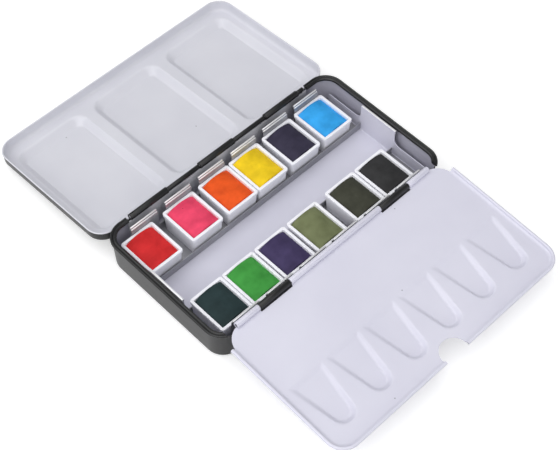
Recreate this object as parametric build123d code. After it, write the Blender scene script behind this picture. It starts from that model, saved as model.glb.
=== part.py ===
from build123d import *
import math
import os

# A folding tin for watercolours: a drawn tin body, a lid hinged at the back, a mixing flap
# hinged at the front, and a lift-out tray whose two rails hold two rows of half pans.
# Millimetres. +X runs along the tin, +Y towards the lid's hinge, +Z up. The origin is the
# middle of the body's flat underside.

# Sheet metal and clearances
SHEET = 0.4
THIN_SHEET = 0.35
RAIL_SHEET = 0.3
SEAT_GAP = 0.1
PAN_GAP = 0.15
KNUCKLE_GAP = 0.3
PIN_CLEARANCE = 0.06

# Half pans and the paint in them
PANS_PER_ROW = 6
PAN_LENGTH = 16.5
PAN_WIDTH = 19.2
PAN_HEIGHT = 10.0
PAN_CORNER = 0.6
PAN_HOLLOW_CORNER = 0.4
PAN_FLANGE = 1.4
PAN_STEP = 0.3
PAN_TAPER = 0.35
PAN_WALL = 1.53
PAN_FLOOR = 1.2
CAKE_CLEARANCE = 0.03
CAKE_DROP = 0.35
CAKE_CROWN = 0.45

# How far each pan sits along its rail from the middle of its clip
BACK_PAN_SHIFTS = (-5.05, -1.35, -0.25, -1.4, -0.55, 0.2)
FRONT_PAN_SHIFTS = (-2.95, -4.2, -5.0, -5.25, -1.65, -2.55)

# Clip rails
FINGER_PITCH = 18.1
FINGER_WIDTH = 13.9
FINGER_RISE = 3.5
FINGER_FLARE = 0.9
FINGER_CORNER = 0.8
RAIL_SPARE = 4.2
RAIL_WALL = 4.1
RAIL_BEND = 0.6
CHANNEL_HALF = 9.45

# Lift-out tray
TRAY_END_GAP = 0.35
TRAY_SIDE_GAP = 0.35
TRAY_BEND = 1.0
TRAY_CORNER = 3.0
TRAY_END_HEIGHT = 7.4
TAB_WIDTH = 19.5
TAB_HEIGHT = 15.4
TAB_FOOT_RADIUS = 3.0
TAB_FOLD = 1.6

# Tin body
END_SPACE = 3.8
SIDE_SPACE = 4.5
HEADROOM = 4.7
TIN_CORNER = 9.0
BEAD_BAND = 2.7
BEAD_DEPTH = 1.7
BEAD_STANDOUT = 0.8
BEAD_ROUND = 0.5
WALL_DRAFT = 0.35
FOOT_CHAMFER = 0.6
BACK_GAP_LEFT = 1.5
BACK_GAP_RIGHT = 1.25
FRONT_GAP = 4.9
FRONT_WALL_DROP = 0.1

# Lid
LID_SIDE_GAP = 0.4
LID_FRONT_STANDOUT = 1.4
LID_CORNER = 7.9
LID_SHUT_GAP = 0.5
LID_SKIRT = 5.0
LID_BACK_SET = 0.8
LID_SHOULDER = 1.0
LID_WELLS = 3
LID_WELL_DEPTH = 3.4
LID_WELL_SLOPE = 4.2
LID_WELL_CORNER = 7.0
LID_MARGIN = 3.95
LID_END_MARGIN = 5.1
LID_RIDGE = 5.0
LID_REST_GAP = 0.15

# Lid hinge, with the joints between knuckles as shares of the tin's length
LID_KNUCKLE_RADIUS = 1.15
LID_KNUCKLE_JOINTS = (-0.3875, -0.229, -0.0917, 0.06, 0.202, 0.3528, 0.3815)

# Mixing flap
FLAP_KNUCKLE_RADIUS = 1.3
FLAP_KNUCKLE_JOINTS = (-0.4238, -0.3282, -0.1988, 0.1988, 0.3282, 0.4238)
FLAP_DROOP = 3.7
FLAP_SHUT_GAP = 0.2
FLAP_SIDE_SET = 1.0
FLAP_FAR_GAP = 0.6
FLAP_CORNER = 8.2
FLAP_ROOT_SET = 2.0
FLAP_RIM_HEIGHT = 1.5
FLAP_RIM_WIDTH = 1.4
FLAP_RIM_ROUND = 0.4
FLAP_RIM_START = 6.6
FLAP_NOTCH_GAP = 0.6
WEDGE_COUNT = 6
WEDGE_PITCH = 19.3
WEDGE_WIDTH = 16.2
WEDGE_START = 0.493
WEDGE_END = 0.859
WEDGE_TIP_RADIUS = 4.6
WEDGE_DEPTH = 2.4
WEDGE_SLOPE = 2.0
THUMB_RADIUS = 6.2
THUMB_SET = 1.6

# Places worked out from the sizes above
tray_floor = SHEET + SEAT_GAP
rail_floor = tray_floor + THIN_SHEET
pan_floor = rail_floor + RAIL_SHEET + PAN_GAP
pan_top = pan_floor + PAN_HEIGHT
row_y = CHANNEL_HALF + PAN_GAP + PAN_WIDTH / 2
finger_y = row_y + PAN_WIDTH / 2 + PAN_GAP
rail_half = PANS_PER_ROW * FINGER_PITCH / 2 + RAIL_SPARE
tray_half = rail_half + TRAY_END_GAP + THIN_SHEET
tray_side = finger_y + RAIL_SHEET + FINGER_FLARE + TRAY_SIDE_GAP
tin_length = 2 * (tray_half + END_SPACE)
tin_width = 2 * (tray_side + SIDE_SPACE)
tin_height = pan_top + HEADROOM
wall_y = tin_width / 2 - BEAD_STANDOUT

# The lid's hinge stands on the back wall, low enough for the shut lid to pass its knuckles
lid_rim = tin_height + LID_SHUT_GAP
lid_axis_z = lid_rim - LID_KNUCKLE_RADIUS - KNUCKLE_GAP
lid_axis_y = wall_y - SHEET / 2
lid_lift = lid_rim - lid_axis_z
lid_half = tin_length / 2 + LID_SIDE_GAP + SHEET
lid_far = lid_axis_y + tin_width / 2 + LID_FRONT_STANDOUT
lid_margin_top = lid_lift + LID_SKIRT + SHEET
lid_top = lid_margin_top + LID_WELL_DEPTH
lid_well_half = lid_half - SHEET - LID_MARGIN
lid_well_length = (2 * lid_well_half - (LID_WELLS - 1) * LID_RIDGE) / LID_WELLS
lid_well_near = LID_BACK_SET + SHEET + LID_END_MARGIN
lid_well_far = lid_far - SHEET - LID_END_MARGIN

# Open, the lid turns past flat until the far edge of its wells nearly meets the table
lid_touch = lid_well_far - LID_WELL_SLOPE + SHEET
lid_droop = math.degrees(
    math.asin((lid_axis_z - LID_REST_GAP) / math.hypot(lid_touch, lid_top))
    - math.atan2(lid_top, lid_touch)
)

# The flap's hinge stands on the front wall, high enough for its rim to clear the tin's bead
flap_surface = FLAP_KNUCKLE_RADIUS - SHEET
flap_axis_z = tin_height + FLAP_SHUT_GAP + FLAP_RIM_HEIGHT - flap_surface
flap_axis_y = FLAP_KNUCKLE_RADIUS - wall_y
flap_reach = lid_axis_y - LID_BACK_SET - SHEET - FLAP_FAR_GAP - flap_axis_y
flap_half = tin_length / 2 - FLAP_SIDE_SET
back_wall_top = lid_axis_z - LID_KNUCKLE_RADIUS - KNUCKLE_GAP
front_wall_top = tin_height - BEAD_DEPTH - FRONT_WALL_DROP


def block(low, high):
    size = [b - a for a, b in zip(low, high)]
    return Pos(*low) * Box(*size, align=(Align.MIN, Align.MIN, Align.MIN))


def plate(length, width, corner, low, high):
    outline = Pos(0, 0, low) * RectangleRounded(length, width, corner)
    return extrude(outline, amount=high - low)


def drafted(length, width, corner, low, high, spread):
    """A block with rounded corners that grows by the spread on each side from low to high."""
    outline = Pos(0, 0, low) * RectangleRounded(length, width, corner)
    return extrude(outline, amount=high - low, taper=-math.degrees(math.atan2(spread, high - low)))


def tub(length, width, corner, low, high, spread=0.0):
    """A moulded tub's form: like the drafted block, with its corners cut straight."""
    outline = Rectangle(length, width)
    outline = Pos(0, 0, low) * chamfer(outline.vertices(), corner)
    return extrude(outline, amount=high - low, taper=-math.degrees(math.atan2(spread, high - low)))


def along_x(radius, left, right):
    rod = Rot(0, 90, 0) * Cylinder(radius, right - left)
    return Pos((left + right) / 2, 0, 0) * rod


def knuckle_spans(shares, first):
    """Left and right ends of every second knuckle, from the first or the second one on."""
    ends = [share * tin_length for share in shares]
    spans = list(zip(ends[:-1], ends[1:]))
    return [(a + KNUCKLE_GAP / 2, b - KNUCKLE_GAP / 2) for a, b in spans[first::2]]


def horizontal_edges(shape, level):
    return shape.edges().filter_by_position(Axis.Z, level - 0.01, level + 0.01)


def pan():
    """Half pan standing on z 0: a drafted tub with a wider flange round its mouth."""
    inset = 2 * (PAN_STEP + PAN_TAPER)
    neck = PAN_HEIGHT - PAN_FLANGE
    body = tub(PAN_LENGTH - inset, PAN_WIDTH - inset, PAN_CORNER, 0, neck, PAN_TAPER)
    flange = tub(PAN_LENGTH, PAN_WIDTH, PAN_CORNER, neck, PAN_HEIGHT)
    return body + flange - pan_hollow(0, PAN_HEIGHT)


def pan_hollow(clearance, high):
    inset = 2 * (PAN_WALL + PAN_TAPER + clearance)
    size = (PAN_LENGTH - inset, PAN_WIDTH - inset, PAN_HOLLOW_CORNER)
    return tub(*size, PAN_FLOOR + clearance, high, PAN_TAPER)


def cake():
    """Paint filling the pan to just under its mouth, with a slightly crowned top."""
    top = PAN_HEIGHT - CAKE_DROP
    half = PAN_WIDTH / 2
    radius = (half * half + CAKE_CROWN * CAKE_CROWN) / (2 * CAKE_CROWN)
    crown = Pos(0, 0, top - radius) * Rot(0, 90, 0) * Cylinder(radius, 2 * PAN_LENGTH)
    return pan_hollow(CAKE_CLEARANCE, PAN_HEIGHT) & crown


def rail():
    """Clip rail for the back row: a folded channel with six spring fingers on its outer side."""
    low = rail_floor + RAIL_SHEET / 2
    inner = CHANNEL_HALF - RAIL_SHEET / 2
    outer = finger_y + RAIL_SHEET / 2
    tip = pan_top + FINGER_RISE
    path = FilletPolyline(
        (inner, rail_floor + RAIL_SHEET + RAIL_WALL),
        (inner, low),
        (outer, low),
        (outer, tip - 2 * FINGER_FLARE),
        (outer + FINGER_FLARE - RAIL_SHEET / 2, tip),
        radius=RAIL_BEND,
    )
    section = Plane.YZ * trace(path, line_width=RAIL_SHEET)
    folded = extrude(section, amount=rail_half, both=True)
    return folded & rail_outline()


def rail_outline():
    """What is left of the rail's blank, seen from the side: a full strip and six fingers."""
    wall_top = rail_floor + RAIL_SHEET + RAIL_WALL
    tip = pan_top + FINGER_RISE + 1
    deep = 2 * tin_width
    blank = block((-rail_half, 0, 0), (rail_half, deep, wall_top + 0.1))
    for number in range(PANS_PER_ROW):
        x = (number - (PANS_PER_ROW - 1) / 2) * FINGER_PITCH
        finger = Plane.XZ * Pos(x, (tip - 1) / 2) * Rectangle(FINGER_WIDTH, tip - 1)
        finger = chamfer(finger.vertices(), FINGER_CORNER)
        blank = blank + extrude(finger, amount=-deep)
    return blank


def tray():
    """Sheet tray folded up at both ends, with a hemmed pull tab in the middle of each end."""
    tall = TAB_HEIGHT - tray_floor
    centre = Pos(0, 0, tray_floor + tall)
    outside = Plane.XZ * RectangleRounded(2 * tray_half, 2 * tall, TRAY_BEND)
    inside = Plane.XZ * RectangleRounded(
        2 * (tray_half - THIN_SHEET), 2 * (tall - THIN_SHEET), TRAY_BEND - THIN_SHEET
    )
    folded = centre * extrude(outside - inside, amount=tray_side, both=True)
    kept = block((-tray_half, -tray_side, tray_floor), (tray_half, tray_side, TRAY_END_HEIGHT))
    kept = kept & plate(2 * tray_half, 2 * tray_side, TRAY_CORNER, tray_floor, TRAY_END_HEIGHT)
    tab = block((-tray_half, -TAB_WIDTH / 2, tray_floor), (tray_half, TAB_WIDTH / 2, TAB_HEIGHT))
    outline = kept + tab
    corners = outline.edges().filter_by(Axis.X).filter_by_position(
        Axis.Z, TRAY_END_HEIGHT - 0.01, TRAY_END_HEIGHT + 0.01
    )
    feet = corners.filter_by_position(Axis.Y, -TAB_WIDTH / 2 - 0.01, TAB_WIDTH / 2 + 0.01)
    outline = fillet(feet, TAB_FOOT_RADIUS)
    return (folded & outline) + tab_folds()


def tab_folds():
    """The doubled-over top edge of each pull tab."""
    folds = []
    for side in (-1, 1):
        centre = Pos(side * (tray_half + THIN_SHEET / 2), 0, TAB_HEIGHT - TAB_FOLD / 2)
        folds.append(centre * Box(THIN_SHEET, TAB_WIDTH, TAB_FOLD))
    return Part() + folds


def tin_form(inset, low):
    """The body's outer or inner surface as a solid, wider at the top than at the foot."""
    foot = BEAD_STANDOUT + inset + WALL_DRAFT
    size = (tin_length - 2 * foot, tin_width - 2 * foot, TIN_CORNER - foot)
    form = drafted(*size, low, tin_height - BEAD_DEPTH / 2, WALL_DRAFT)
    return chamfer(horizontal_edges(form, low), FOOT_CHAMFER)


def bead():
    """Rolled rim round the mouth."""
    low = tin_height - BEAD_DEPTH
    ring = plate(tin_length, tin_width, TIN_CORNER, low, tin_height)
    hole = plate(
        tin_length - 2 * BEAD_BAND, tin_width - 2 * BEAD_BAND, TIN_CORNER - BEAD_BAND, low, tin_height
    )
    ring = ring - hole
    edges = horizontal_edges(ring, low) + horizontal_edges(ring, tin_height)
    return chamfer(edges, BEAD_ROUND)


def back_gap():
    """Space over the lowered back wall, where the rim is left out for the lid's hinge."""
    left = LID_KNUCKLE_JOINTS[0] * tin_length - BACK_GAP_LEFT
    right = LID_KNUCKLE_JOINTS[-1] * tin_length + BACK_GAP_RIGHT
    return block((left, tin_width / 2 - TIN_CORNER, back_wall_top), (right, tin_width, 2 * tin_height))


def front_gap():
    half = FLAP_KNUCKLE_JOINTS[-1] * tin_length + FRONT_GAP
    low = (-half, -tin_width, front_wall_top)
    return block(low, (half, TIN_CORNER - tin_width / 2, 2 * tin_height))


def base_tin():
    """Drawn body with its rim, and the hinge knuckles curled out of its long walls."""
    body = tin_form(0, 0) - tin_form(SHEET, SHEET) + bead()
    body = body - back_gap() - front_gap()
    for left, right in knuckle_spans(LID_KNUCKLE_JOINTS, 0):
        body = body + back_knuckle(left, right)
    for left, right in knuckle_spans(FLAP_KNUCKLE_JOINTS, 1):
        body = body + front_knuckle(left, right)
    body = body - Pos(0, lid_axis_y, lid_axis_z) * bore(LID_KNUCKLE_JOINTS, LID_KNUCKLE_RADIUS)
    return body - Pos(0, flap_axis_y, flap_axis_z) * bore(FLAP_KNUCKLE_JOINTS, FLAP_KNUCKLE_RADIUS)


def bore(shares, radius):
    """The pin's hole through every knuckle of a hinge."""
    return along_x(radius - SHEET, shares[0] * tin_length, shares[-1] * tin_length)


def back_knuckle(left, right):
    curl = Pos(0, lid_axis_y, lid_axis_z) * along_x(LID_KNUCKLE_RADIUS, left, right)
    leaf = block(
        (left, lid_axis_y - SHEET / 2, back_wall_top - 2), (right, lid_axis_y + SHEET / 2, lid_axis_z)
    )
    return curl + leaf


def front_knuckle(left, right):
    curl = Pos(0, flap_axis_y, flap_axis_z) * along_x(FLAP_KNUCKLE_RADIUS, left, right)
    face = flap_axis_y - FLAP_KNUCKLE_RADIUS
    leaf = block((left, face, front_wall_top - 2), (right, face + SHEET, flap_axis_z))
    return curl + leaf


def lid_form(inset):
    """Skirt, margin and pressed wells of the shut lid as a solid, its hinge axis on X."""
    near = LID_BACK_SET + inset
    far = lid_far - inset
    middle = Pos(0, -(near + far) / 2, 0)
    low = lid_lift - inset
    top = lid_margin_top - inset
    form = plate(2 * (lid_half - inset), far - near, LID_CORNER - inset, low, top)
    form = middle * chamfer(horizontal_edges(form, top), LID_SHOULDER)
    grow = SHEET - inset
    width = lid_well_far - lid_well_near
    size = (lid_well_length + 2 * grow, width + 2 * grow, LID_WELL_CORNER + grow)
    well = drafted(*size, top, lid_top - inset, -LID_WELL_SLOPE)
    for number in range(LID_WELLS):
        x = (number - (LID_WELLS - 1) / 2) * (lid_well_length + LID_RIDGE)
        form = form + Pos(x, -(lid_well_near + lid_well_far) / 2, 0) * well
    return form


def lid():
    """Drawn lid with its hinge knuckles, turned about the back pin to where it lies open."""
    shell = lid_form(0) - lid_form(SHEET)
    for left, right in knuckle_spans(LID_KNUCKLE_JOINTS, 1):
        curl = along_x(LID_KNUCKLE_RADIUS, left, right)
        leaf = block(
            (left, -LID_BACK_SET - SHEET, LID_KNUCKLE_RADIUS / 2), (right, -LID_BACK_SET, lid_lift + 0.5)
        )
        shell = shell + curl + leaf
    shell = shell - bore(LID_KNUCKLE_JOINTS, LID_KNUCKLE_RADIUS)
    return Pos(0, lid_axis_y, lid_axis_z) * Rot(-180 - lid_droop, 0, 0) * shell


def wedge_outline(width, tip_radius, start, end):
    """Plan of one mixing well: a straight side nearest the hinge, closing to a round tip."""
    centre = end - tip_radius
    run = centre - start
    reach = math.hypot(width / 2, run)
    turn = math.atan2(run, width / 2) + math.asin(tip_radius / reach)
    side = math.sqrt(reach * reach - tip_radius * tip_radius)
    x = width / 2 - side * math.cos(turn)
    y = start + side * math.sin(turn)
    outline = Polyline((-x, -y), (-width / 2, -start), (width / 2, -start), (x, -y))
    outline = outline + ThreePointArc((x, -y), (0, -end), (-x, -y))
    return make_face(outline)


def wedge(grow):
    """One mixing well as a solid hanging from the flap's face, its floor sloping to the tip."""
    start = WEDGE_START * flap_reach
    end = WEDGE_END * flap_reach
    mouth = wedge_outline(WEDGE_WIDTH + 2 * grow, WEDGE_TIP_RADIUS + grow, start, end + grow)
    face = -flap_surface
    deep = face - grow - WEDGE_DEPTH
    angle = math.degrees(math.atan2(WEDGE_SLOPE, face - deep))
    dish = extrude(Pos(0, 0, face) * mouth, amount=deep - face, taper=angle)
    slanted = Polyline(
        (-start, face + SHEET),
        (-start, face - grow),
        (-end, deep),
        (-end - WEDGE_TIP_RADIUS, deep),
        (-end - WEDGE_TIP_RADIUS, face + SHEET),
        close=True,
    )
    prism = extrude(Plane.YZ * make_face(slanted), amount=WEDGE_WIDTH, both=True)
    return dish & prism


def flap_sheet():
    """Flat of the flap with its raised rolled rim on three sides, the hinge axis on X."""
    face = -flap_surface
    low = face - SHEET
    rim_top = face + FLAP_RIM_HEIGHT
    long = 2 * flap_reach
    sheet = plate(2 * flap_half, long, FLAP_CORNER, low, face)
    hole = (2 * (flap_half - FLAP_RIM_WIDTH), long - 2 * FLAP_RIM_WIDTH, FLAP_CORNER - FLAP_RIM_WIDTH)
    rim = plate(2 * flap_half, long, FLAP_CORNER, low, rim_top) - plate(*hole, low, rim_top)
    rim = chamfer(horizontal_edges(rim, rim_top), FLAP_RIM_ROUND)
    rim = rim & block((-flap_half, -flap_reach, low), (flap_half, -FLAP_RIM_START, rim_top))
    root = plate(2 * (flap_half - FLAP_ROOT_SET), long - 2 * FLAP_ROOT_SET, FLAP_CORNER, low, face)
    root = Pos(0, FLAP_ROOT_SET - flap_reach, 0) * root
    sheet = sheet & block((-flap_half, -flap_reach, low), (flap_half, -FLAP_RIM_START, face))
    near = root & block((-flap_half, -FLAP_RIM_START, low), (flap_half, 0, face))
    return sheet + near + rim


def flap():
    """Mixing flap with its wells and knuckles, drooping open in front of the tin."""
    body = flap_sheet()
    offsets = [(number - (WEDGE_COUNT - 1) / 2) * WEDGE_PITCH for number in range(WEDGE_COUNT)]
    outer = wedge(SHEET)
    inner = wedge(0)
    for x in offsets:
        body = body + Pos(x, 0, 0) * outer
    for x in offsets:
        body = body - Pos(x, 0, 0) * inner
    thumb = Pos(0, THUMB_SET - flap_reach, 0) * Cylinder(THUMB_RADIUS, 4 * FLAP_KNUCKLE_RADIUS)
    body = body - thumb
    clear = FLAP_KNUCKLE_RADIUS + FLAP_NOTCH_GAP
    for left, right in knuckle_spans(FLAP_KNUCKLE_JOINTS, 1):
        gap = block((left - KNUCKLE_GAP, -clear, -clear), (right + KNUCKLE_GAP, clear, clear))
        body = body - gap
    for left, right in knuckle_spans(FLAP_KNUCKLE_JOINTS, 0):
        body = body + along_x(FLAP_KNUCKLE_RADIUS, left, right)
    body = body - bore(FLAP_KNUCKLE_JOINTS, FLAP_KNUCKLE_RADIUS)
    return Pos(0, flap_axis_y, flap_axis_z) * Rot(FLAP_DROOP, 0, 0) * body


def hinge_pin(shares, radius, y, z):
    left = shares[0] * tin_length + KNUCKLE_GAP
    right = shares[-1] * tin_length - KNUCKLE_GAP
    return Pos(0, y, z) * along_x(radius - SHEET - PIN_CLEARANCE, left, right)


def pan_places():
    """Row name, number and place of every pan."""
    places = []
    for row, side, shifts in (("back", 1, BACK_PAN_SHIFTS), ("front", -1, FRONT_PAN_SHIFTS)):
        for number, shift in enumerate(shifts):
            x = (number - (PANS_PER_ROW - 1) / 2) * FINGER_PITCH + shift
            places.append((f"{row}_{number + 1}", Pos(x, side * row_y, pan_floor)))
    return places


def write(name, shape):
    export_step(shape, f"parts/{name}.step")


os.makedirs("parts", exist_ok=True)
write("base_tin", base_tin())
write("lid", lid())
write("mixing_flap", flap())
write("lid_hinge_pin", hinge_pin(LID_KNUCKLE_JOINTS, LID_KNUCKLE_RADIUS, lid_axis_y, lid_axis_z))
write("flap_hinge_pin", hinge_pin(FLAP_KNUCKLE_JOINTS, FLAP_KNUCKLE_RADIUS, flap_axis_y, flap_axis_z))
write("insert_tray", tray())
back_rail = rail()
write("back_clip_rail", back_rail)
write("front_clip_rail", Rot(0, 0, 180) * back_rail)
one_pan = pan()
one_cake = cake()
for place_name, place in pan_places():
    write(f"pan_{place_name}", place * one_pan)
    write(f"cake_{place_name}", place * one_cake)
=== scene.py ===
import math

import bpy
from mathutils import Matrix, Vector


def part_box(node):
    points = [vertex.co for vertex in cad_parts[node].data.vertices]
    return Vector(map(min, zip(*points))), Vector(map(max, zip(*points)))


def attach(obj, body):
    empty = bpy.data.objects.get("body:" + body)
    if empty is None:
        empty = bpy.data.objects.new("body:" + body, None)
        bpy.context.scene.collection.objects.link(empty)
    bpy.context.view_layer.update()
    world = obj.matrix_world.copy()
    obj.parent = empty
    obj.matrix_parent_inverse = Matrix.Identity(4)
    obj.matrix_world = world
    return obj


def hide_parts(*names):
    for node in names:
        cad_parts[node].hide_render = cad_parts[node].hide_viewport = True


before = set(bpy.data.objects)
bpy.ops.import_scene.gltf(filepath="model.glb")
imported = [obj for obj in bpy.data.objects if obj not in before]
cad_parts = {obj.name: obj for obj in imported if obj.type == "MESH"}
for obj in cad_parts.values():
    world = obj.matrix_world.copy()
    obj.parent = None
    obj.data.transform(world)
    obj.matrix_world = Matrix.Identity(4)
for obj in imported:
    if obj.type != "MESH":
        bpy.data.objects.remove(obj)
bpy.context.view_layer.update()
bpy.ops.object.select_all(action="DESELECT")

# Camera: a long lens over the near left corner of the open tin, looking down at about 55
# degrees.
MM = 0.001
CAMERA_PLACE = Vector((-229.4, -238.3, 466.1)) * MM
CAMERA_TARGET = Vector((-5.72, -7.07, 9.3)) * MM
CAMERA_LENS = 89.72
SENSOR_WIDTH = 36.0
NEAREST_SEEN = 10 * MM
bpy.ops.object.camera_add(location=CAMERA_PLACE)
camera = bpy.context.object
camera.rotation_euler = (CAMERA_TARGET - CAMERA_PLACE).to_track_quat("-Z", "Y").to_euler()
camera.data.lens = CAMERA_LENS
camera.data.sensor_width = SENSOR_WIDTH
camera.data.clip_start = NEAREST_SEEN
bpy.context.scene.camera = camera
bpy.context.scene.view_settings.view_transform = "Standard"

# Floor and light: a matt white table in a white room, with one large soft light overhead and
# two weaker ones at the left and the front.
FLOOR_SIZE = 6.0
FLOOR_DROP = 0.3 * MM
PAPER_WHITE = 0.86
PAPER_ROUGHNESS = 0.9
PAPER_GLOW = 0.36
bpy.ops.mesh.primitive_plane_add(size=FLOOR_SIZE, location=(0, 0, -FLOOR_DROP))
floor = bpy.context.object
floor.name = "table_top"
paper = bpy.data.materials.new("white_table")
paper.use_nodes = True
nodes = paper.node_tree.nodes
links = paper.node_tree.links
board = nodes["Principled BSDF"]
board.inputs["Base Color"].default_value = (PAPER_WHITE, PAPER_WHITE, PAPER_WHITE, 1)
board.inputs["Roughness"].default_value = PAPER_ROUGHNESS
board.inputs["Specular IOR Level"].default_value = 0.0
board.inputs["Emission Color"].default_value = (1, 1, 1, 1)
rays = nodes.new("ShaderNodeLightPath")
lift = nodes.new("ShaderNodeMath")
lift.operation = "MULTIPLY"
lift.inputs[1].default_value = PAPER_GLOW
links.new(rays.outputs["Is Camera Ray"], lift.inputs[0])
links.new(lift.outputs[0], board.inputs["Emission Strength"])
floor.data.materials.append(paper)

# Each light has a name, a place and a width in metres, and a power in watts.
SOFT_LIGHTS = (
    ("overhead_light", (-0.3, 0.1, 0.9), 1.4, 8.4),
    ("left_light", (-0.8, -0.3, 0.5), 0.8, 1.9),
    ("front_light", (-0.1, -0.9, 0.6), 0.8, 1.6),
)
for name, place, size, power in SOFT_LIGHTS:
    bpy.ops.object.light_add(type="AREA", location=place)
    lamp = bpy.context.object
    lamp.name = name
    lamp.rotation_euler = (-Vector(place)).to_track_quat("-Z", "Y").to_euler()
    lamp.data.size = size
    lamp.data.energy = power

# The room's light fades from the walls to the ceiling, and the camera sees it as plain white.
ROOM_COLOUR = (0.97, 0.98, 1.0, 1)
ROOM_HEIGHTS = (0.15, 0.65)
ROOM_STRENGTHS = (0.8, 0.3)
room = bpy.data.worlds.new("studio")
room.use_nodes = True
nodes = room.node_tree.nodes
links = room.node_tree.links
nodes["Background"].inputs["Color"].default_value = ROOM_COLOUR
direction = nodes.new("ShaderNodeTexCoord")
split = nodes.new("ShaderNodeSeparateXYZ")
fade = nodes.new("ShaderNodeMapRange")
fade.inputs["From Min"].default_value, fade.inputs["From Max"].default_value = ROOM_HEIGHTS
fade.inputs["To Min"].default_value, fade.inputs["To Max"].default_value = ROOM_STRENGTHS
links.new(direction.outputs["Generated"], split.inputs["Vector"])
links.new(split.outputs["Z"], fade.inputs["Value"])
links.new(fade.outputs["Result"], nodes["Background"].inputs["Strength"])
backdrop = nodes.new("ShaderNodeBackground")
backdrop.inputs["Color"].default_value = (1, 1, 1, 1)
rays = nodes.new("ShaderNodeLightPath")
choose = nodes.new("ShaderNodeMixShader")
links.new(rays.outputs["Is Camera Ray"], choose.inputs["Fac"])
links.new(nodes["Background"].outputs["Background"], choose.inputs[1])
links.new(backdrop.outputs["Background"], choose.inputs[2])
links.new(choose.outputs["Shader"], nodes["World Output"].inputs["Surface"])
bpy.context.scene.world = room

# Tin body: drawn tinplate, stoved black enamel outside and white inside, its rounded foot
# and drafted walls pressed in one piece.
TIN_LENGTH = 126.0 * MM
TIN_WIDTH = 70.0 * MM
TIN_HEIGHT = 16.0 * MM
TIN_CORNER = 9.0 * MM
SHEET = 0.4 * MM
RIM_STANDOUT = 0.8 * MM
RIM_DROP = 0.9 * MM
WALL_DRAFT = 0.35 * MM
FOOT_ROUND = 1.1 * MM
FOOT_STEPS = 5
CORNER_STEPS = 14
BACK_SPAN = (-50.3 * MM, 49.3 * MM)
BACK_WALL_TOP = 13.6 * MM
FRONT_SPAN = (-58.3 * MM, 58.3 * MM)
FRONT_WALL_TOP = 14.2 * MM
# Heights less than a hair apart are level, and a face past FACING looks along the axis named.
HAIR = 0.01 * MM
FACING = 0.9
# Surfaces: how far the colour, the gloss and the flecks of each may vary.
SHADE_RANGE = (0.3, 0.7)
GLOSS_SPREAD = 0.16
FLECK_CELLS = 20
FLECK_DARKNESS = 0.5
COAT_ROUGHNESS = 0.12
RELIEF_DEPTH = 0.1 * MM


def tint(red, green, blue):
    """A screen colour from 0 to 255 as the linear colour that a shader takes."""
    linear = (((v / 255 + 0.055) / 1.055) ** 2.4 if v > 10 else v / 3295 for v in (red, green, blue))
    return tuple(linear) + (1.0,)


def pick(piece, kind, test):
    """Goes into edit mode with only the vertices, edges or faces selected that pass the test."""
    bpy.ops.object.mode_set(mode="EDIT")
    bpy.ops.mesh.select_mode(type=kind)
    bpy.ops.mesh.select_all(action="DESELECT")
    bpy.ops.object.mode_set(mode="OBJECT")
    mesh = piece.data
    if kind == "VERT":
        for vertex in mesh.vertices:
            vertex.select = test(vertex.co)
    if kind == "EDGE":
        for edge in mesh.edges:
            a, b = (mesh.vertices[i].co for i in edge.vertices)
            edge.select = test(a, b)
    if kind == "FACE":
        for face in mesh.polygons:
            face.select = test(face.center, face.normal)
    bpy.ops.object.mode_set(mode="EDIT")


def upright(a, b):
    """Says whether an edge between two points runs up a piece's side."""
    return abs(a.z - b.z) > MM


def object_mode():
    bpy.ops.object.mode_set(mode="OBJECT")


def new_block(name, low, high):
    """A box between two corners, alone selected and ready to be shaped."""
    bpy.ops.object.select_all(action="DESELECT")
    centre = [(a + b) / 2 for a, b in zip(low, high)]
    bpy.ops.mesh.primitive_cube_add(size=1, location=centre)
    piece = bpy.context.object
    piece.name = name
    piece.scale = [b - a for a, b in zip(low, high)]
    bpy.ops.object.transform_apply(location=True, rotation=True, scale=True)
    return piece


def take_up(piece):
    """Selects one piece alone and makes it the active one."""
    bpy.ops.object.select_all(action="DESELECT")
    piece.select_set(True)
    bpy.context.view_layer.objects.active = piece


def add_modifier(piece, kind, **settings):
    """Adds one modifier with its settings and applies it."""
    take_up(piece)
    modifier = piece.modifiers.new(kind.lower(), kind)
    for key, value in settings.items():
        setattr(modifier, key, value)
    bpy.ops.object.modifier_apply(modifier=modifier.name)


def cut_away(piece, cutter):
    """Takes a cutter's shape out of a piece, and the cutter out of the scene."""
    add_modifier(piece, "BOOLEAN", operation="DIFFERENCE", object=cutter, solver="EXACT")
    bpy.data.objects.remove(cutter)


def smooth(piece, angle=35):
    """Shades a piece smooth but for edges that turn by more than some degrees."""
    take_up(piece)
    bpy.ops.object.shade_smooth_by_angle(angle=math.radians(angle))


def new_group(name, takes, gives):
    """An empty shader group with its inputs and outputs, and the nodes that carry them."""
    group = bpy.data.node_groups.new(name, "ShaderNodeTree")
    for socket in takes:
        group.interface.new_socket(socket, in_out="INPUT", socket_type="NodeSocketFloat")
    for socket in gives:
        group.interface.new_socket(socket, in_out="OUTPUT", socket_type="NodeSocketFloat")
    return group, group.nodes.new("NodeGroupInput"), group.nodes.new("NodeGroupOutput")


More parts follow.
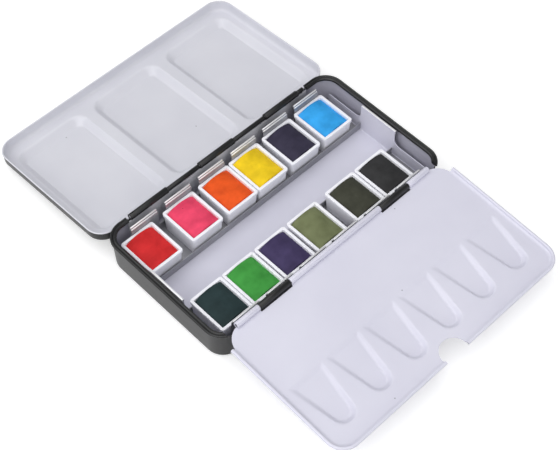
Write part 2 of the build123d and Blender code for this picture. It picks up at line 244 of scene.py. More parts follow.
def uneven_group():
    """Fine unevenness of a stoved or moulded surface: a colour factor, roughness and height."""
    takes, gives = ("Patches", "Scale", "Roughness"), ("Shade", "Roughness", "Height")
    group, entry, leave = new_group("surface_unevenness", takes, gives)
    tree, join = group.nodes, group.links
    place = tree.new("ShaderNodeTexCoord")
    broad = tree.new("ShaderNodeTexNoise")
    broad.inputs["Detail"].default_value = 3
    fine = tree.new("ShaderNodeTexNoise")
    fine.inputs["Detail"].default_value = 2
    join.new(place.outputs["Object"], broad.inputs["Vector"])
    join.new(place.outputs["Object"], fine.inputs["Vector"])
    join.new(entry.outputs["Patches"], broad.inputs["Scale"])
    join.new(entry.outputs["Scale"], fine.inputs["Scale"])
    shade = tree.new("ShaderNodeMapRange")
    shade.inputs["From Min"].default_value, shade.inputs["From Max"].default_value = SHADE_RANGE
    join.new(broad.outputs["Fac"], shade.inputs["Value"])
    spread = tree.new("ShaderNodeMath")
    spread.operation = "MULTIPLY_ADD"
    spread.inputs[1].default_value = GLOSS_SPREAD
    join.new(broad.outputs["Fac"], spread.inputs[0])
    join.new(entry.outputs["Roughness"], spread.inputs[2])
    join.new(shade.outputs["Result"], leave.inputs["Shade"])
    join.new(spread.outputs[0], leave.inputs["Roughness"])
    join.new(fine.outputs["Fac"], leave.inputs["Height"])
    return group


def fleck_group():
    """A few scattered flecks of one size, as a mask."""
    group, entry, leave = new_group("scattered_flecks", ("Size",), ("Mask",))
    tree, join = group.nodes, group.links
    place = tree.new("ShaderNodeTexCoord")
    cells = tree.new("ShaderNodeTexVoronoi")
    cells.voronoi_dimensions = "2D"
    cells.inputs["Scale"].default_value = FLECK_CELLS
    near = tree.new("ShaderNodeMath")
    near.operation = "LESS_THAN"
    join.new(place.outputs["Object"], cells.inputs["Vector"])
    join.new(cells.outputs["Distance"], near.inputs[0])
    join.new(entry.outputs["Size"], near.inputs[1])
    join.new(near.outputs[0], leave.inputs["Mask"])
    return group


UNEVENNESS = uneven_group()
FLECKS = fleck_group()


def finish(
    name, light, dark, roughness, grain, bump, metallic=0.0, coat=0.0, shine=0.5, flecks=0.0, patches=35
):
    """A surface whose colour, gloss and height vary a little, from one to another of two shades."""
    material = bpy.data.materials.new(name)
    material.use_nodes = True
    tree, join = material.node_tree.nodes, material.node_tree.links
    shader = tree["Principled BSDF"]
    shader.inputs["Metallic"].default_value = metallic
    shader.inputs["Specular IOR Level"].default_value = shine
    shader.inputs["Coat Weight"].default_value = coat
    shader.inputs["Coat Roughness"].default_value = COAT_ROUGHNESS
    uneven = tree.new("ShaderNodeGroup")
    uneven.node_tree = UNEVENNESS
    uneven.inputs["Patches"].default_value = patches
    uneven.inputs["Scale"].default_value = grain
    uneven.inputs["Roughness"].default_value = roughness - GLOSS_SPREAD / 2
    mix = tree.new("ShaderNodeMix")
    mix.data_type = "RGBA"
    mix.inputs["A"].default_value = dark
    mix.inputs["B"].default_value = light
    join.new(uneven.outputs["Shade"], mix.inputs["Factor"])
    fleck = tree.new("ShaderNodeGroup")
    fleck.node_tree = FLECKS
    fleck.inputs["Size"].default_value = flecks
    marked = tree.new("ShaderNodeMix")
    marked.data_type = "RGBA"
    marked.inputs["B"].default_value = tuple(FLECK_DARKNESS * value for value in dark[:3]) + (1.0,)
    join.new(fleck.outputs["Mask"], marked.inputs["Factor"])
    join.new(mix.outputs["Result"], marked.inputs["A"])
    join.new(marked.outputs["Result"], shader.inputs["Base Color"])
    join.new(uneven.outputs["Roughness"], shader.inputs["Roughness"])
    relief = tree.new("ShaderNodeBump")
    relief.inputs["Strength"].default_value = bump
    relief.inputs["Distance"].default_value = RELIEF_DEPTH
    join.new(uneven.outputs["Height"], relief.inputs["Height"])
    join.new(relief.outputs["Normal"], shader.inputs["Normal"])
    return material


black_enamel = finish(
    "black_enamel", tint(17, 17, 18), tint(10, 10, 11), roughness=0.28, grain=1400, bump=0.25, coat=0.1
)
white_enamel = finish(
    "white_enamel", tint(215, 214, 227), tint(209, 208, 222),
    roughness=0.36, grain=900, bump=0.12, coat=0.15, flecks=0.0055
)
# The inside's white enamel, painted darker than the lid's and the flap's as shade within the tin's walls.
shaded_inside_enamel = finish(
    "shaded_inside_enamel", tint(186, 185, 197), tint(174, 173, 186), roughness=0.3, grain=900, bump=0.12, coat=0.2
)

foot_x = TIN_LENGTH / 2 - RIM_STANDOUT - WALL_DRAFT
foot_y = TIN_WIDTH / 2 - RIM_STANDOUT - WALL_DRAFT
shell_top = TIN_HEIGHT - RIM_DROP
shell = new_block("tin_body", (-foot_x, -foot_y, 0), (foot_x, foot_y, shell_top))
pick(shell, "EDGE", upright)
bpy.ops.mesh.bevel(offset=TIN_CORNER - RIM_STANDOUT - WALL_DRAFT, segments=CORNER_STEPS)
pick(shell, "VERT", lambda p: p.z > shell_top / 2)
bpy.ops.transform.resize(value=(1 + WALL_DRAFT / foot_x, 1 + WALL_DRAFT / foot_y, 1))
pick(shell, "EDGE", lambda a, b: max(a.z, b.z) < HAIR)
bpy.ops.mesh.bevel(offset=FOOT_ROUND, segments=FOOT_STEPS)
pick(shell, "FACE", lambda c, n: n.z > FACING and c.z > shell_top / 2)
bpy.ops.mesh.delete(type="FACE")
object_mode()
shell.data.materials.append(black_enamel)
shell.data.materials.append(shaded_inside_enamel)
add_modifier(shell, "SOLIDIFY", thickness=SHEET, offset=-1, material_offset=1, use_even_offset=True)
for (left, right), top, side in ((BACK_SPAN, BACK_WALL_TOP, 1), (FRONT_SPAN, FRONT_WALL_TOP, -1)):
    near = side * (TIN_WIDTH / 2 - TIN_CORNER)
    far = side * TIN_WIDTH
    cutter = new_block("cutter", (left, min(near, far), top), (right, max(near, far), 2 * TIN_HEIGHT))
    cut_away(shell, cutter)
smooth(shell)
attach(shell, "base")
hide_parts("base_tin")

# Rim of the body: the sheet's edge rolled over into a bead, with a second, wider fold inside
# it, both black and left out where the hinges run.
OUTER_ROLL = 0.62 * MM
OUTER_DROP = 0.06 * MM
INNER_ROLL = 0.86 * MM
RIM_BAND = 2.7 * MM
ROLL_STEPS = 4
CUT_FROM = 20 * MM
CUT_TO = 100 * MM
CUT_FOOT = 10 * MM
CUT_HEAD = 30 * MM


def rounded_loop(name, half_x, half_y, corner, z, middle_y=0.0):
    """A closed outline with rounded corners, as a mesh of edges alone."""
    bpy.ops.object.select_all(action="DESELECT")
    bpy.ops.mesh.primitive_plane_add(size=1, location=(0, middle_y, z))
    loop = bpy.context.object
    loop.name = name
    loop.scale = (2 * half_x, 2 * half_y, 1)
    bpy.ops.object.transform_apply(location=True, rotation=True, scale=True)
    pick(loop, "VERT", lambda p: True)
    bpy.ops.mesh.bevel(offset=corner, segments=CORNER_STEPS, affect="VERTICES")
    bpy.ops.mesh.select_all(action="SELECT")
    bpy.ops.mesh.delete(type="ONLY_FACE")
    object_mode()
    return loop


def roll_along(loop, radius):
    """Turns an outline into a round bead, closed at its ends if it has any."""
    take_up(loop)
    bpy.ops.object.convert(target="CURVE")
    loop.data.dimensions = "3D"
    loop.data.bevel_depth = radius
    loop.data.bevel_resolution = ROLL_STEPS
    loop.data.use_fill_caps = True
    bpy.ops.object.convert(target="MESH")


def cut_spans(piece):
    """Takes the rim away along the back and the front hinge."""
    back = new_block("cutter", (BACK_SPAN[0], CUT_FROM, CUT_FOOT), (BACK_SPAN[1], CUT_TO, CUT_HEAD))
    cut_away(piece, back)
    front = new_block("cutter", (FRONT_SPAN[0], -CUT_TO, CUT_FOOT), (FRONT_SPAN[1], -CUT_FROM, CUT_HEAD))
    cut_away(piece, front)


def dress(piece, material, body, slot, angle=35):
    """Gives a shaped piece its surface, and says what it rides on."""
    piece.data.materials.append(material)
    smooth(piece, angle)
    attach(piece, body)


RIM_ROLLS = (
    ("rim_outer_roll", OUTER_ROLL, OUTER_ROLL, OUTER_DROP),
    ("rim_inner_fold", INNER_ROLL, RIM_BAND - INNER_ROLL, 0.0),
)
for name, radius, inset, drop in RIM_ROLLS:
    level = TIN_HEIGHT - radius - drop
    roll = rounded_loop(name, TIN_LENGTH / 2 - inset, TIN_WIDTH / 2 - inset, TIN_CORNER - inset, level)
    roll_along(roll, radius)
    cut_spans(roll)
    dress(roll, black_enamel, "base", "black_enamel")

# Hinge knuckles: strips of the walls curled round the two pins, black on the body and lid and
# white on the flap.
LID_AXIS = (34.0 * MM, 15.05 * MM)
FLAP_AXIS = (-32.9 * MM, 16.8 * MM)
BACK_KNUCKLE = 1.4 * MM
LID_KNUCKLE = 0.95 * MM
FLAP_KNUCKLE = 1.3 * MM
KNUCKLE_GAP = 0.3 * MM
KNUCKLE_STEPS = 40
BACK_JOINTS = [share * TIN_LENGTH for share in (-0.3875, -0.229, -0.0917, 0.06, 0.202, 0.3528, 0.3815)]
FRONT_JOINTS = [share * TIN_LENGTH for share in (-0.4238, -0.3282, -0.1988, 0.1988, 0.3282, 0.4238)]
CURL_WALL = 0.9 * SHEET
CURL_EDGE = 0.04 * MM
PIN_HOLE = 1.2 * MM
SEAM_WIDTH = 0.18 * MM
SEAM_DEPTH = 0.16 * MM
BACK_SEAM = -20
FRONT_SEAM = -45
LEAF_EDGE = 0.1 * MM


def knuckle(name, span, axis, radius, seam, leaf, dressing):
    """One curled knuckle with its seam and its pin's hole, and the flat leaf that leads to it.

    The seam is an angle in degrees. The leaf has a face, a foot and a head, and the dressing a
    material, a body and a slot, the slot not used.
    """
    left, right = span
    bpy.ops.object.select_all(action="DESELECT")
    bpy.ops.mesh.primitive_cylinder_add(
        vertices=KNUCKLE_STEPS, radius=radius, depth=right - left,
        location=((left + right) / 2, axis[0], axis[1]), rotation=(0, math.pi / 2, 0)
    )
    curl = bpy.context.object
    curl.name = name
    bpy.ops.object.transform_apply(location=True, rotation=True, scale=True)
    pick(curl, "FACE", lambda c, n: abs(n.x) > FACING)
    bpy.ops.mesh.inset(thickness=CURL_WALL, use_individual=True)
    bpy.ops.mesh.inset(thickness=0.0, depth=-PIN_HOLE, use_individual=True)
    object_mode()
    groove = new_block(
        "cutter", (left - MM, axis[0] - SEAM_WIDTH / 2, axis[1] + radius - SEAM_DEPTH),
        (right + MM, axis[0] + SEAM_WIDTH / 2, axis[1] + radius + MM)
    )
    to_pin = Matrix.Translation((0, -axis[0], -axis[1]))
    turn = Matrix.Rotation(math.radians(seam), 4, "X")
    groove.data.transform(Matrix.Translation((0, *axis)) @ turn @ to_pin)
    cut_away(curl, groove)
    sharp = math.radians(50)
    add_modifier(curl, "BEVEL", width=CURL_EDGE, segments=2, limit_method="ANGLE", angle_limit=sharp)
    dress(curl, *dressing, angle=40)
    face, foot, head = leaf
    strip = new_block(name + "_leaf", (left, face, foot), (right, face + SHEET, head))
    add_modifier(strip, "BEVEL", width=LEAF_EDGE, segments=2)
    dress(strip, *dressing)


def spans(joints, first):
    """The stretches between joints that belong to one half of a hinge, every second one."""
    pairs = list(zip(joints[:-1], joints[1:]))[first::2]
    return [(a + KNUCKLE_GAP / 2, b - KNUCKLE_GAP / 2) for a, b in pairs]


base_black = (black_enamel, "base", "black_enamel")
back_leaf = (LID_AXIS[0] - SHEET / 2, BACK_WALL_TOP - MM, LID_AXIS[1] - BACK_KNUCKLE + SHEET)
for number, span in enumerate(spans(BACK_JOINTS, 0)):
    knuckle(f"back_knuckle_{number + 1}", span, LID_AXIS, BACK_KNUCKLE, BACK_SEAM, back_leaf, base_black)
front_leaf = (FLAP_AXIS[0] - FLAP_KNUCKLE, FRONT_WALL_TOP - MM, FLAP_AXIS[1])
for number, span in enumerate(spans(FRONT_JOINTS, 1)):
    knuckle(f"front_knuckle_{number + 1}", span, FLAP_AXIS, FLAP_KNUCKLE, FRONT_SEAM, front_leaf, base_black)

# Hinge strip: bare tinplate along the inside of the back wall, its upper edge curled into the
# body's knuckles.
STRIP_FACE = 33.1 * MM
STRIP_SHEET = 0.3 * MM
STRIP_FOOT = 2.5 * MM
STRIP_HEAD = 13.95 * MM
# The strip's tinplate is painted lighter and less metallic than the rails', as reflected light in the shaded
# gap behind the clips.
strip_painted_light = finish(
    "strip_painted_light", tint(226, 226, 232), tint(168, 168, 176),
    roughness=0.36, grain=2200, bump=0.3, metallic=0.15
)
hinge_strip = new_block(
    "back_hinge_strip", (BACK_SPAN[0], STRIP_FACE, STRIP_FOOT),
    (BACK_SPAN[1], STRIP_FACE + STRIP_SHEET, STRIP_HEAD)
)
add_modifier(hinge_strip, "BEVEL", width=LEAF_EDGE, segments=2)
dress(hinge_strip, strip_painted_light, "base", "black_enamel")

# Lid: one pressing that lies open on the table, white inside with three shallow mixing wells,
# black outside, its skirt drawn up all round.
LID_DROOP = math.radians(4.393)
LID_HALF = 63.4 * MM
LID_NEAR = 1.2 * MM
LID_FAR = 70.0 * MM
LID_CORNER = 7.5 * MM
LID_RIM = -1.45 * MM
LID_DEPTH = 5.0 * MM
LID_MARGIN = LID_RIM - LID_DEPTH
LID_SHOULDER = 1.6 * MM
SHOULDER_STEPS = 6
LID_HEM = 0.36 * MM
LID_SEAM = 63
LID_LEAF_SET = 0.8 * MM
LID_LEAF_LAP = 0.3 * MM
WELLS = 3
WELL_LENGTH = 36.3 * MM
WELL_PITCH = 41.3 * MM
WELL_NEAR = 6.3 * MM
WELL_FAR = 64.9 * MM
WELL_DEPTH = 3.0 * MM
WELL_SLOPE = 3.1 * MM
WELL_CORNER = 5.6 * MM
LID_GRID = 0.6 * MM
SLOPE_EASE = 0.2
PRISM_HEIGHT = 5 * MM


def lay_open(piece):
    """Moves a piece made about the lid's own hinge line to where the lid lies open."""
    place = Matrix.Translation((0, *LID_AXIS)) @ Matrix.Rotation(-LID_DROOP, 4, "X")
    piece.data.transform(place)
    piece.data.update()


def eased(value):
    """A share from 0 to 1 that starts and ends gently."""
    value = min(max(value, 0.0), 1.0)
    return value * value * (3 - 2 * value)


def way_down(distance, slope):
    """How far down a pressed slope a point lies, from 0 at its head to 1 at its foot."""
    share = min(max(distance / slope, 0.0), 1.0)
    return (1 - SLOPE_EASE) * share + SLOPE_EASE * eased(share)


def well_drop(x, y):
    """Depth of the nearest mixing well under the lid's margin at one point."""
    column = min(max(round(x / WELL_PITCH), -(WELLS // 2)), WELLS // 2)
    over_x = abs(x - column * WELL_PITCH) - WELL_LENGTH / 2 + WELL_CORNER
    over_y = abs(y - (WELL_NEAR + WELL_FAR) / 2) - (WELL_FAR - WELL_NEAR) / 2 + WELL_CORNER
    outside = math.hypot(max(over_x, 0.0), max(over_y, 0.0)) + min(max(over_x, over_y), 0.0)
    return WELL_DEPTH * way_down(WELL_CORNER - outside, WELL_SLOPE)


def rounded_prism(name, half, near, far, corner, deep=PRISM_HEIGHT):
    """A tall block with rounded upright corners, to trim a pressing to its outline."""
    prism = new_block(name, (-half, near, -deep), (half, far, PRISM_HEIGHT))
    pick(prism, "EDGE", upright)
    bpy.ops.mesh.bevel(offset=corner, segments=CORNER_STEPS)
    object_mode()
    return prism


def sheet_grid(name, half, near, far, z, step):
    """A level sheet of small squares, ready to be pressed into shape."""
    bpy.ops.object.select_all(action="DESELECT")
    bpy.ops.mesh.primitive_grid_add(
        x_subdivisions=round(2 * half / step), y_subdivisions=round((far - near) / step), size=1,
        location=(0, (near + far) / 2, z)
    )
    sheet = bpy.context.object
    sheet.name = name
    sheet.scale = (2 * half, far - near, 1)
    bpy.ops.object.transform_apply(location=True, rotation=True, scale=True)
    return sheet


def trim_to(piece, outline):
    """Keeps only what of a piece lies inside an outline's block."""
    add_modifier(piece, "BOOLEAN", operation="INTERSECT", object=outline, solver="EXACT")
    bpy.data.objects.remove(outline)


lid_white = finish(
    "lid_white", tint(215, 215, 222), tint(208, 208, 216),
    roughness=0.36, grain=900, bump=0.12, coat=0.15, flecks=0.0055
)
panel = sheet_grid("lid_panel", LID_HALF, LID_NEAR, LID_FAR, LID_MARGIN, LID_GRID)
for vertex in panel.data.vertices:
    vertex.co.z -= well_drop(vertex.co.x, vertex.co.y)
panel.data.materials.append(lid_white)
panel.data.materials.append(black_enamel)
add_modifier(panel, "SOLIDIFY", thickness=SHEET, offset=-1, material_offset=1)
trim_to(panel, rounded_prism(
    "trim", LID_HALF - LID_SHOULDER, LID_NEAR + LID_SHOULDER, LID_FAR - LID_SHOULDER,
    LID_CORNER - LID_SHOULDER, 4 * PRISM_HEIGHT
))
smooth(panel, 30)
lay_open(panel)
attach(panel, "lid")
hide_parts("lid")

# Lid's skirt and hem: the same pressing's wall, drawn up from the panel over a round shoulder,
# with its free edge turned into a thin hem.
lid_middle = (LID_NEAR + LID_FAR) / 2
lid_half_width = (LID_FAR - LID_NEAR) / 2
skirt = rounded_loop("lid_skirt", LID_HALF, lid_half_width, LID_CORNER, LID_RIM, lid_middle)
skirt_profile = [(0.0, LID_MARGIN + LID_SHOULDER)]
for step in range(1, SHOULDER_STEPS + 1):
    angle = math.radians(90 / SHOULDER_STEPS * step)
    inset = LID_SHOULDER * (1 - math.cos(angle))
    skirt_profile.append((inset, LID_MARGIN + LID_SHOULDER * (1 - math.sin(angle))))
drawn = 0.0
height = LID_RIM
for inset, z in skirt_profile:
    pick(skirt, "EDGE", lambda a, b: abs(a.z - height) < HAIR and abs(b.z - height) < HAIR)
    bpy.ops.mesh.extrude_edges_move(TRANSFORM_OT_translate={"value": (0, 0, z - height)})
    object_mode()
    for vertex in skirt.data.vertices:
        if abs(vertex.co.z - z) < HAIR:
            centre = Vector((
                min(max(vertex.co.x, LID_CORNER - LID_HALF), LID_HALF - LID_CORNER),
                min(max(vertex.co.y, LID_NEAR + LID_CORNER), LID_FAR - LID_CORNER), z
            ))
            vertex.co += (centre - vertex.co).normalized() * (inset - drawn)
    drawn, height = inset, z
pick(skirt, "FACE", lambda c, n: True)
bpy.ops.mesh.normals_make_consistent(inside=True)
object_mode()
skirt.data.materials.append(lid_white)
skirt.data.materials.append(black_enamel)
add_modifier(skirt, "SOLIDIFY", thickness=SHEET, offset=-1, material_offset=1, use_even_offset=True)
smooth(skirt, 50)
lay_open(skirt)
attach(skirt, "lid")

lid_hem = rounded_loop(
    "lid_hem", LID_HALF + SHEET / 2, lid_half_width + SHEET / 2, LID_CORNER, LID_RIM, lid_middle
)
roll_along(lid_hem, LID_HEM)
lid_hem.data.materials.append(lid_white)
smooth(lid_hem, 60)
lay_open(lid_hem)
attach(lid_hem, "lid")
lid_dressing = (black_enamel, "lid", "lid_enamel")
lid_leaf = (LID_AXIS[0] + LID_LEAF_SET, LID_AXIS[1] + LID_RIM - LID_LEAF_LAP, LID_AXIS[1] - LID_LEAF_LAP)
for number, span in enumerate(spans(BACK_JOINTS, 1)):
    knuckle(f"lid_knuckle_{number + 1}", span, LID_AXIS, LID_KNUCKLE, LID_SEAM, lid_leaf, lid_dressing)

# Mixing flap: one white pressing with six wedge-shaped wells and a turned-up edge, hanging
# open on the front pin.
FLAP_DROOP = math.radians(3.7)
FLAP_HALF = 62.0 * MM
FLAP_REACH = 65.1 * MM
FLAP_CORNER = 8.2 * MM
FLAP_FACE = -0.9 * MM
FLAP_SEAM = 35
FLAP_GRID = 0.5 * MM
ROOT_SET = 2.0 * MM
ROOT_CUT = 4 * MM
EDGE_START = 6.6 * MM
EDGE_ROLL = 0.7 * MM
EDGE_TOP = FLAP_FACE + 1.5 * MM
EDGE_RISE = 0.75 * MM
EDGE_SLOPE = 1.6 * MM
EDGE_FADE = 1.0 * MM
WEDGES = 6
WEDGE_PITCH = 19.3 * MM
WEDGE_HALF = 8.7 * MM
WEDGE_START = 32.1 * MM
WEDGE_END = 56.6 * MM
WEDGE_TIP = 5.3 * MM
WEDGE_DEPTH = 2.2 * MM
WEDGE_STEP = 0.35 * MM
WEDGE_SLOPE = 1.8 * MM
THUMB_RADIUS = 6.2 * MM
THUMB_PLACE = 63.5 * MM
THUMB_HEIGHT = 12 * MM
THUMB_STEPS = 64
NOTCH_REACH = 1.9 * MM
NOTCH_HEIGHT = 3 * MM


def hang_open(piece):
    """Moves a piece made about the flap's own hinge line to where the flap hangs open."""
    place = Matrix.Translation((0, *FLAP_AXIS)) @ Matrix.Rotation(FLAP_DROOP, 4, "X")
    piece.data.transform(place)
    piece.data.update()


def inside_wedge(x, out):
    """How far a point lies inside the nearest well's mouth, less than nothing outside it."""
    row = min(max(round(x / WEDGE_PITCH - 0.5), -WEDGES // 2), WEDGES // 2 - 1) + 0.5
    from_middle = abs(x - row * WEDGE_PITCH)
    tip_centre = WEDGE_END - WEDGE_TIP
    run = tip_centre - WEDGE_START
    turn = math.atan2(run, WEDGE_HALF) + math.asin(WEDGE_TIP / math.hypot(WEDGE_HALF, run))
    side = -((from_middle - WEDGE_HALF) * math.sin(turn) + (out - WEDGE_START) * math.cos(turn))
    if out > WEDGE_START + run + WEDGE_TIP * math.cos(turn):
        side = WEDGE_TIP - math.hypot(from_middle, out - tip_centre)
    return min(side, out - WEDGE_START)


def flap_height(x, out):
    """Height of the flap's face over its flat: wells sunk in it and an edge that turns up."""
    sunk = WEDGE_STEP + (WEDGE_DEPTH - WEDGE_STEP) * (out - WEDGE_START) / (WEDGE_END - WEDGE_START)
    depth = sunk * way_down(inside_wedge(x, out), WEDGE_SLOPE) if out > WEDGE_START else 0.0
    over_x = max(abs(x) - FLAP_HALF + FLAP_CORNER, 0.0)
    over_y = max(out - FLAP_REACH + FLAP_CORNER, 0.0)
    from_edge = FLAP_CORNER - math.hypot(over_x, over_y)
    if over_x == 0.0 or over_y == 0.0:
        from_edge = min(FLAP_HALF - abs(x), FLAP_REACH - out)
    lifted = EDGE_RISE * eased(1 - (from_edge - EDGE_ROLL) / EDGE_SLOPE)
    return lifted * eased((out - EDGE_START + EDGE_FADE) / (2 * EDGE_FADE)) - depth


def thumb_cutter():
    """A round cutter for the thumb notch in the flap's far edge."""
    bpy.ops.object.select_all(action="DESELECT")
    bpy.ops.mesh.primitive_cylinder_add(
        vertices=THUMB_STEPS, radius=THUMB_RADIUS, depth=THUMB_HEIGHT, location=(0, -THUMB_PLACE, 0)
    )
    cutter = bpy.context.object
    bpy.ops.object.transform_apply(location=True, rotation=True, scale=True)
    return cutter


flap = sheet_grid("flap_pressing", FLAP_HALF, -FLAP_REACH, 0, FLAP_FACE, FLAP_GRID)
for vertex in flap.data.vertices:
    vertex.co.z += flap_height(vertex.co.x, -vertex.co.y)
add_modifier(flap, "SOLIDIFY", thickness=SHEET, offset=-1, use_even_offset=True)
trim_to(flap, rounded_prism("trim", FLAP_HALF, -FLAP_REACH, FLAP_REACH, FLAP_CORNER))
root_cutter = new_block(
    "cutter", (-2 * FLAP_HALF, -EDGE_START, -ROOT_CUT), (2 * FLAP_HALF, ROOT_CUT, ROOT_CUT)
)
cut_away(root_cutter, rounded_prism("root", FLAP_HALF - ROOT_SET, -3 * EDGE_START, 0, FLAP_CORNER))
cut_away(flap, root_cutter)
cut_away(flap, thumb_cutter())
for left, right in spans(FRONT_JOINTS, 1):
    notch = new_block(
        "cutter", (left - KNUCKLE_GAP, -NOTCH_REACH, -NOTCH_HEIGHT),
        (right + KNUCKLE_GAP, NOTCH_REACH, NOTCH_HEIGHT)
    )
    cut_away(flap, notch)
flap.data.materials.append(white_enamel)
smooth(flap, 30)
hang_open(flap)
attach(flap, "flap")
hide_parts("mixing_flap")

# Rolled edge of the flap: the sheet's edge turned into a bead on three sides, cut through by
# the thumb notch.
straight_side = FLAP_REACH - FLAP_CORNER - EDGE_START
edge = rounded_loop(
    "flap_rolled_edge", FLAP_HALF - EDGE_ROLL, FLAP_REACH - EDGE_ROLL, FLAP_CORNER - EDGE_ROLL,
    EDGE_TOP - EDGE_ROLL
)
pick(edge, "VERT", lambda p: p.y > 0)
bpy.ops.mesh.delete(type="VERT")
object_mode()
pick(edge, "VERT", lambda p: p.y > FLAP_CORNER - FLAP_REACH - HAIR)
bpy.ops.mesh.extrude_vertices_move(TRANSFORM_OT_translate={"value": (0, straight_side, 0)})
object_mode()
roll_along(edge, EDGE_ROLL)
cut_away(edge, thumb_cutter())
edge.data.materials.append(white_enamel)
smooth(edge)
hang_open(edge)
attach(edge, "flap")
flap_dressing = (white_enamel, "flap", "white_enamel")
flap_leaf_foot = FLAP_AXIS[1] - FLAP_KNUCKLE
flap_leaf = (FLAP_AXIS[0] - FLAP_KNUCKLE, flap_leaf_foot, flap_leaf_foot + SHEET)
for number, span in enumerate(spans(FRONT_JOINTS, 0)):
    knuckle(f"flap_knuckle_{number + 1}", span, FLAP_AXIS, FLAP_KNUCKLE, FLAP_SEAM, flap_leaf, flap_dressing)

# Hinge pins, clip rails and lift-out tray: drawn steel wire, bare tinplate and white enamelled
# tinplate, as they are in the part.
tinplate = finish(
    "tinplate", tint(168, 168, 172), tint(140, 140, 146), roughness=0.42, grain=2200, bump=0.3, metallic=0.6
)
tray_enamel = finish(
    "tray_enamel", tint(214, 213, 226), tint(207, 206, 220), roughness=0.4, grain=900, bump=0.12, coat=0.1
)
steel_wire = finish(
    "steel_wire", tint(190, 190, 192), tint(165, 165, 168), roughness=0.3, grain=2600, bump=0.2, metallic=1.0
)
for node, material in (
    ("back_clip_rail", tinplate), ("front_clip_rail", tinplate), ("insert_tray", tray_enamel),
    ("lid_hinge_pin", steel_wire), ("flap_hinge_pin", steel_wire),
):
    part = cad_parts[node]
    part.data.materials.clear()
    part.data.materials.append(material)

# Folds of the clips and pull tabs: the sheet's edge folded double and pressed flat, bare
# tinplate painted near white as a highlight along the fold.
FINGER_PITCH = 18.1 * MM
FINGER_WIDTH = 13.5 * MM
FINGERS = 6
# Each of a clip's two folds has a distance from the tin's middle, a height and a radius.
CLIP_FOLDS = ((29.95 * MM, 14.68 * MM, 0.36 * MM), (29.42 * MM, 13.95 * MM, 0.34 * MM))
FOLD_STEPS = 20
FOLD_END = 0.1 * MM
TAB_PLACE = 59.4 * MM
TAB_TOP = 15.25 * MM
TAB_WIDTH = 19.5 * MM
TAB_HEM_HALF = 0.45 * MM
TAB_HEM_DROP = 1.2 * MM
TAB_HEM_RISE = 0.2 * MM
TAB_HEM_EDGE = 0.16 * MM


def clip_fold(name, x, y, z, radius):
    """A thin fold lying along X, rounded over its ends."""
    bpy.ops.object.select_all(action="DESELECT")
    bpy.ops.mesh.primitive_cylinder_add(
        vertices=FOLD_STEPS, radius=radius, depth=FINGER_WIDTH, location=(x, y, z),
        rotation=(0, math.pi / 2, 0)
    )
    fold = bpy.context.object
    fold.name = name
    bpy.ops.object.transform_apply(location=True, rotation=True, scale=True)
    sharp = math.radians(60)
    add_modifier(fold, "BEVEL", width=FOLD_END, segments=2, limit_method="ANGLE", angle_limit=sharp)
    return fold


# Tinplate painted near white: a painted highlight along the clips' folds and the tabs' hems.
fold_painted_highlight = finish(
    "fold_painted_highlight", tint(246, 246, 246), tint(228, 228, 230),
    roughness=0.34, grain=1800, bump=0.15, metallic=0.55
)
for side, rail_name in ((1, "back"), (-1, "front")):
    for number in range(FINGERS):
        x = (number - (FINGERS - 1) / 2) * FINGER_PITCH
        for fold_number, (y, z, radius) in enumerate(CLIP_FOLDS):
            fold = clip_fold(f"{rail_name}_clip_{number + 1}_fold_{fold_number + 1}", x, side * y, z, radius)
            dress(fold, fold_painted_highlight, "tray", "rail_tinplate", angle=50)
for side, end in ((-1, "left"), (1, "right")):
    middle = side * TAB_PLACE
    tab_hem = new_block(
        f"{end}_tab_hem", (middle - TAB_HEM_HALF, -TAB_WIDTH / 2, TAB_TOP - TAB_HEM_DROP),
        (middle + TAB_HEM_HALF, TAB_WIDTH / 2, TAB_TOP + TAB_HEM_RISE)
    )
    add_modifier(tab_hem, "BEVEL", width=TAB_HEM_EDGE, segments=3)
    dress(tab_hem, fold_painted_highlight, "tray", "tinplate")

# Half pans: white moulded tubs with drafted sides and a thicker lip, one moulding copied
# twelve times.
PAN_LENGTH = 16.5 * MM
PAN_WIDTH = 19.2 * MM
PAN_HEIGHT = 10.0 * MM
PAN_CORNER = 1.0 * MM
PAN_LIP = 1.4 * MM
PAN_STEP = 0.3 * MM
PAN_TAPER = 0.35 * MM
PAN_WALL = 1.15 * MM
PAN_FLOOR = 1.2 * MM
PAN_EDGE = 0.28 * MM
pan_white = finish(
    "pan_plastic", tint(246, 246, 251), tint(240, 240, 247), roughness=0.42, grain=1500, bump=0.1, coat=0.1
)


def scale_about_z(factor_x, factor_y):
    bpy.ops.transform.resize(value=(factor_x, factor_y, 1), center_override=(0, 0, 0))


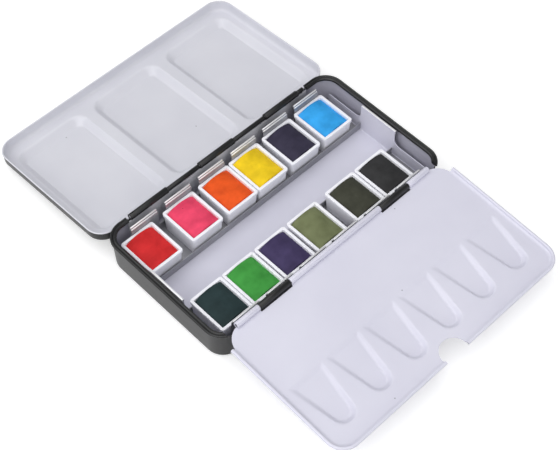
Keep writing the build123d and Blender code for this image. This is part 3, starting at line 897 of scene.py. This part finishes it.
def half_pan():
    """One moulding: a tapered tub, stepped out to its lip and hollowed to its floor."""
    foot = (PAN_LENGTH / 2 - PAN_STEP - PAN_TAPER, PAN_WIDTH / 2 - PAN_STEP - PAN_TAPER)
    neck = (foot[0] + PAN_TAPER, foot[1] + PAN_TAPER)
    hollow = (PAN_LENGTH / 2 - PAN_WALL, PAN_WIDTH / 2 - PAN_WALL)
    tub = new_block("half_pan", (-foot[0], -foot[1], 0), (foot[0], foot[1], PAN_HEIGHT - PAN_LIP))
    pick(tub, "EDGE", upright)
    bpy.ops.mesh.bevel(offset=PAN_CORNER, segments=5)
    pick(tub, "FACE", lambda c, n: n.z > FACING)
    scale_about_z(1 + PAN_TAPER / foot[0], 1 + PAN_TAPER / foot[1])
    bpy.ops.mesh.extrude_region_move(TRANSFORM_OT_translate={"value": (0, 0, 0)})
    scale_about_z(1 + PAN_STEP / neck[0], 1 + PAN_STEP / neck[1])
    bpy.ops.mesh.extrude_region_move(TRANSFORM_OT_translate={"value": (0, 0, PAN_LIP)})
    bpy.ops.mesh.inset(thickness=PAN_WALL)
    bpy.ops.mesh.extrude_region_move(TRANSFORM_OT_translate={"value": (0, 0, PAN_FLOOR - PAN_HEIGHT)})
    scale_about_z(1 - PAN_TAPER / hollow[0], 1 - PAN_TAPER / hollow[1])
    object_mode()
    sharp = math.radians(40)
    add_modifier(tub, "BEVEL", width=PAN_EDGE, segments=3, limit_method="ANGLE", angle_limit=sharp)
    smooth(tub, 40)
    return tub


def copy_to(piece, name, place):
    """A copy of a piece with a mesh of its own, moved to its place."""
    twin = piece.copy()
    twin.data = piece.data.copy()
    twin.name = name
    twin.data.transform(Matrix.Translation(place))
    bpy.context.collection.objects.link(twin)
    return twin


pan_places = {}
for name in [f"{row}_{number + 1}" for row in ("back", "front") for number in range(FINGERS)]:
    low, high = (Vector(corner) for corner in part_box(f"pan_{name}"))
    pan_places[name] = Vector(((low.x + high.x) / 2, (low.y + high.y) / 2, low.z))
first_pan = half_pan()
first_pan.data.materials.append(pan_white)
for name, place in pan_places.items():
    tub = copy_to(first_pan, f"half_pan_{name}", place)
    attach(tub, f"half_pan_{name}")
    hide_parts(f"pan_{name}")
bpy.data.objects.remove(first_pan)

# Paint: cakes poured into the pans and dried, matt, faintly crowned from side to side and sunk
# at their edges.
CAKE_CLEARANCE = 0.19 * MM
CAKE_FOOT = PAN_FLOOR + 0.3 * MM
CAKE_TOP = PAN_HEIGHT + 0.75 * MM
CAKE_CROWN = 1.9 * MM
CAKE_CORNER = 0.7 * MM
CAKE_EDGE = 0.25 * MM
CAKE_SLICES = 10
# Paler patches in each cake: partly the dried paint's bloom, partly a painted sheen.
SHEEN_AND_BLOOM_SHARE = 0.97
SHEEN_AND_BLOOM_LIFT = 10
DARK_SHARE = 0.88
PAINTS = {
    "back_1": (214, 38, 40), "back_2": (240, 68, 104), "back_3": (240, 86, 24), "back_4": (242, 204, 24),
    "back_5": (50, 46, 66), "back_6": (50, 166, 240), "front_1": (34, 52, 54), "front_2": (62, 154, 62),
    "front_3": (62, 52, 90), "front_4": (114, 121, 84), "front_5": (60, 61, 50), "front_6": (46, 46, 47),
}


def paint_finish(name, colour):
    """Dry paint: one pigment with paler patches, partly bloom and partly painted sheen, and small pits."""
    paler = (min(255, v * SHEEN_AND_BLOOM_SHARE + SHEEN_AND_BLOOM_LIFT) for v in colour)
    darker = (v * DARK_SHARE for v in colour)
    return finish(
        f"paint_{name}", tint(*paler), tint(*darker),
        roughness=0.62, grain=700, bump=0.5, shine=0.16, flecks=0.004, patches=170
    )


def paint_cake():
    """One cake that fills a pan's hollow and rises over its lip along the middle."""
    half_x = PAN_LENGTH / 2 - PAN_WALL - CAKE_CLEARANCE
    half_y = PAN_WIDTH / 2 - PAN_WALL - CAKE_CLEARANCE
    cake = new_block("cake", (-half_x, -half_y, CAKE_FOOT), (half_x, half_y, CAKE_TOP))
    pick(cake, "EDGE", upright)
    bpy.ops.mesh.bevel(offset=CAKE_CORNER, segments=4)
    for place in range(1 - CAKE_SLICES, CAKE_SLICES):
        bpy.ops.mesh.select_all(action="SELECT")
        bpy.ops.mesh.bisect(plane_co=(place * half_x / CAKE_SLICES, 0, 0), plane_no=(1, 0, 0))
    pick(cake, "VERT", lambda p: p.z < CAKE_TOP - MM)
    scale_about_z(1 - PAN_TAPER / half_x, 1 - PAN_TAPER / half_y)
    object_mode()
    for vertex in cake.data.vertices:
        if vertex.co.z > CAKE_TOP - MM:
            vertex.co.z -= CAKE_CROWN * (vertex.co.x / half_x) ** 2
    sharp = math.radians(50)
    add_modifier(cake, "BEVEL", width=CAKE_EDGE, segments=3, limit_method="ANGLE", angle_limit=sharp)
    smooth(cake, 40)
    return cake


first_cake = paint_cake()
for name, place in pan_places.items():
    cake = copy_to(first_cake, f"paint_cake_{name}", place)
    cake.data.materials.append(paint_finish(name, PAINTS[name]))
    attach(cake, f"half_pan_{name}")
    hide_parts(f"cake_{name}")
bpy.data.objects.remove(first_cake)

bpy.context.view_layer.update()
